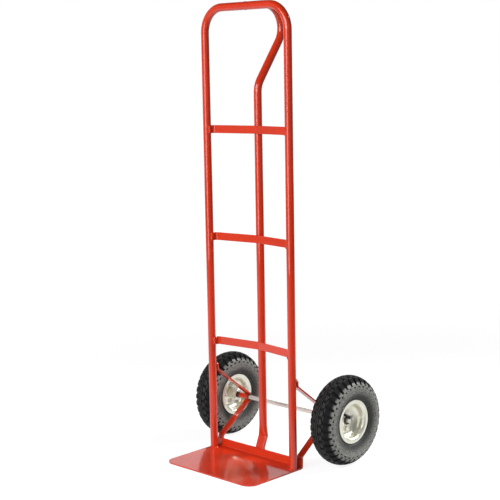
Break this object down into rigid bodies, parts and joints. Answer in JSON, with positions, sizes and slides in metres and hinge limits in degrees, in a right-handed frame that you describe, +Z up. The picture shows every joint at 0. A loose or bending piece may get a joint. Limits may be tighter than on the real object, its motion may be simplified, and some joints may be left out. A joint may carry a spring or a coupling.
{
  "type": "sack truck",
  "caption": "Upright sack truck with a P-shaped handle, a welded red tube frame with strap crossbars, a flat toe plate and pneumatic wheels on a fixed axle.",
  "frame": {"origin": "on the floor, under the middle of the truck's bounding box", "axes": "+Z up along the uprights, the toe plate towards -Y, the axle along X"},
  "size_m": [0.5494, 0.465, 1.319],
  "materials": {
    "red_enamel": "gloss",
    "plated_rim": "satin",
    "zinc_plate": "satin",
    "dark_steel": "satin",
    "bearing_steel": "polished",
    "tyre_rubber": "matte",
    "tube_rubber": "matte",
    "black_plastic": "matte"
  },
  "bodies": {
    "frame": {"axle": "zinc_plate", "bottom_crossbar": "red_enamel", "grip_bend": "red_enamel", "handle_kink": "red_enamel", "handle_slant": "red_enamel", "handle_top": "red_enamel", "left_axle_bracket": "red_enamel", "left_axle_sleeve": "red_enamel", "left_bearing_inner_rings": "bearing_steel", "left_hoop_bend": "red_enamel", "left_hub_spacer": "dark_steel", "left_inner_split_pin": "dark_steel", "left_inner_washer": "dark_steel", "left_outer_split_pin": "dark_steel", "left_outer_washer": "dark_steel", "left_upright": "red_enamel", "middle_crossbar": "red_enamel", "right_axle_bracket": "red_enamel", "right_axle_sleeve": "red_enamel", "right_bearing_inner_rings": "bearing_steel", "right_hoop_bend": "red_enamel", "right_hub_spacer": "dark_steel", "right_inner_split_pin": "dark_steel", "right_inner_washer": "dark_steel", "right_outer_split_pin": "dark_steel", "right_outer_washer": "dark_steel", "right_upright": "red_enamel", "spine_foot": "red_enamel", "spine_post": "red_enamel", "toe_plate": "red_enamel", "top_crossbar": "red_enamel", "top_run": "red_enamel"},
    "left_ball_set": {"left_bearing_balls": "bearing_steel", "left_bearing_cages": "bearing_steel"},
    "left_wheel": {"left_bearing_outer_rings": "bearing_steel", "left_bearing_shields": "bearing_steel", "left_hub": "plated_rim", "left_inner_rim_half": "plated_rim", "left_inner_tube": "tube_rubber", "left_outer_rim_half": "plated_rim", "left_rim_bolts": "zinc_plate", "left_rim_nuts": "zinc_plate", "left_tyre": "tyre_rubber", "left_valve_cap": "black_plastic", "left_valve_stem": "tube_rubber"},
    "right_ball_set": {"right_bearing_balls": "bearing_steel", "right_bearing_cages": "bearing_steel"},
    "right_wheel": {"right_bearing_outer_rings": "bearing_steel", "right_bearing_shields": "bearing_steel", "right_hub": "plated_rim", "right_inner_rim_half": "plated_rim", "right_inner_tube": "tube_rubber", "right_outer_rim_half": "plated_rim", "right_rim_bolts": "zinc_plate", "right_rim_nuts": "zinc_plate", "right_tyre": "tyre_rubber", "right_valve_cap": "black_plastic", "right_valve_stem": "tube_rubber"}
  },
  "joints": [
    {"name": "left_wheel_spin", "type": "hinge", "parent": "frame", "child": "left_wheel", "pos_m": [-0.23375, 0.1025, 0.13], "axis": [1, 0, 0], "continuous": true},
    {"name": "left_ball_set_spin", "type": "hinge", "parent": "frame", "child": "left_ball_set", "pos_m": [-0.23375, 0.1025, 0.13], "axis": [1, 0, 0], "continuous": true},
    {"name": "right_wheel_spin", "type": "hinge", "parent": "frame", "child": "right_wheel", "pos_m": [0.23375, 0.1025, 0.13], "axis": [1, 0, 0], "continuous": true},
    {"name": "right_ball_set_spin", "type": "hinge", "parent": "frame", "child": "right_ball_set", "pos_m": [0.23375, 0.1025, 0.13], "axis": [1, 0, 0], "continuous": true}
  ],
  "couplings": [
    {"joint": "left_ball_set_spin", "follows": "left_wheel_spin", "ratio": 0.61526},
    {"joint": "right_ball_set_spin", "follows": "right_wheel_spin", "ratio": 0.61526}
  ]
}
